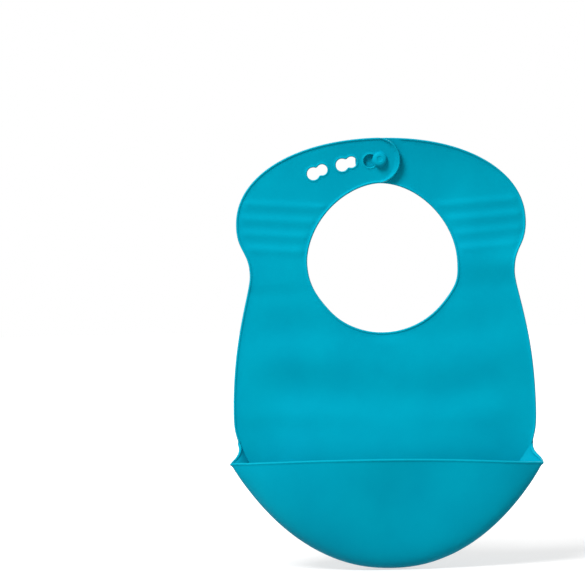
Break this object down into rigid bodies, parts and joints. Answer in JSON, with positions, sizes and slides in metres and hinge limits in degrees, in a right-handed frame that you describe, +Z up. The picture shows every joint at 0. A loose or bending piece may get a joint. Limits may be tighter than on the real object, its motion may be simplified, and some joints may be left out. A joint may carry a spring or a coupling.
{
  "type": "silicone bib",
  "caption": "Moulded silicone baby bib with a ribbed collar that fastens at the neck by a stud in a row of keyholes, and a deep crumb pocket with pleated corners.",
  "frame": {"origin": "centre of the neck opening, on the back face of the sheet", "axes": "+Z up towards the closure, -Y out of the front, +X to the right seen from the front"},
  "size_m": [0.2242, 0.0374, 0.3094],
  "materials": {
    "silicone": "satin moulded silicone"
  },
  "bodies": {
    "yoke": {"chest_panel": "silicone", "left_shoulder": "silicone", "right_shoulder": "silicone"},
    "left_collar": {"left_strap": "silicone"},
    "fastening_tab": {"strap_tab": "silicone"},
    "right_collar": {"right_strap": "silicone", "closure_stud": "silicone"},
    "lower_panel": {"pocket_back": "silicone", "pocket_base": "silicone", "left_gusset": "silicone", "right_gusset": "silicone"},
    "pocket_front": {"pocket_wall": "silicone", "pocket_rim": "silicone"}
  },
  "joints": [
    {"name": "collar_fold", "type": "hinge", "parent": "yoke", "child": "left_collar", "pos_m": [0, -0.00075, 0.0183], "axis": [1, 0, 0], "range_deg": [-90, 60], "stiffness_Nm_per_rad": 0.03},
    {"name": "collar_fold_right", "type": "hinge", "parent": "yoke", "child": "right_collar", "pos_m": [0, -0.00075, 0.0183], "axis": [1, 0, 0], "range_deg": [-90, 60], "stiffness_Nm_per_rad": 0.03},
    {"name": "tab_peel", "type": "hinge", "parent": "left_collar", "child": "fastening_tab", "pos_m": [0.00405, -0.00075, 0.00483], "axis": [0.766, 0, -0.6428], "range_deg": [0, 75], "stiffness_Nm_per_rad": 0.01, "deforming": ["closure_stud"]},
    {"name": "panel_fold", "type": "hinge", "parent": "yoke", "child": "lower_panel", "pos_m": [0, -0.00075, -0.101], "axis": [-1, 0, 0], "range_deg": [-30, 90], "stiffness_Nm_per_rad": 0.1},
    {"name": "pocket_open", "type": "hinge", "parent": "lower_panel", "child": "pocket_front", "pos_m": [0, -0.0155, -0.223], "axis": [1, 0, 0], "range_deg": [0, 12], "stiffness_Nm_per_rad": 0.05}
  ],
  "couplings": [
    {"joint": "collar_fold_right", "follows": "collar_fold", "ratio": 1}
  ]
}
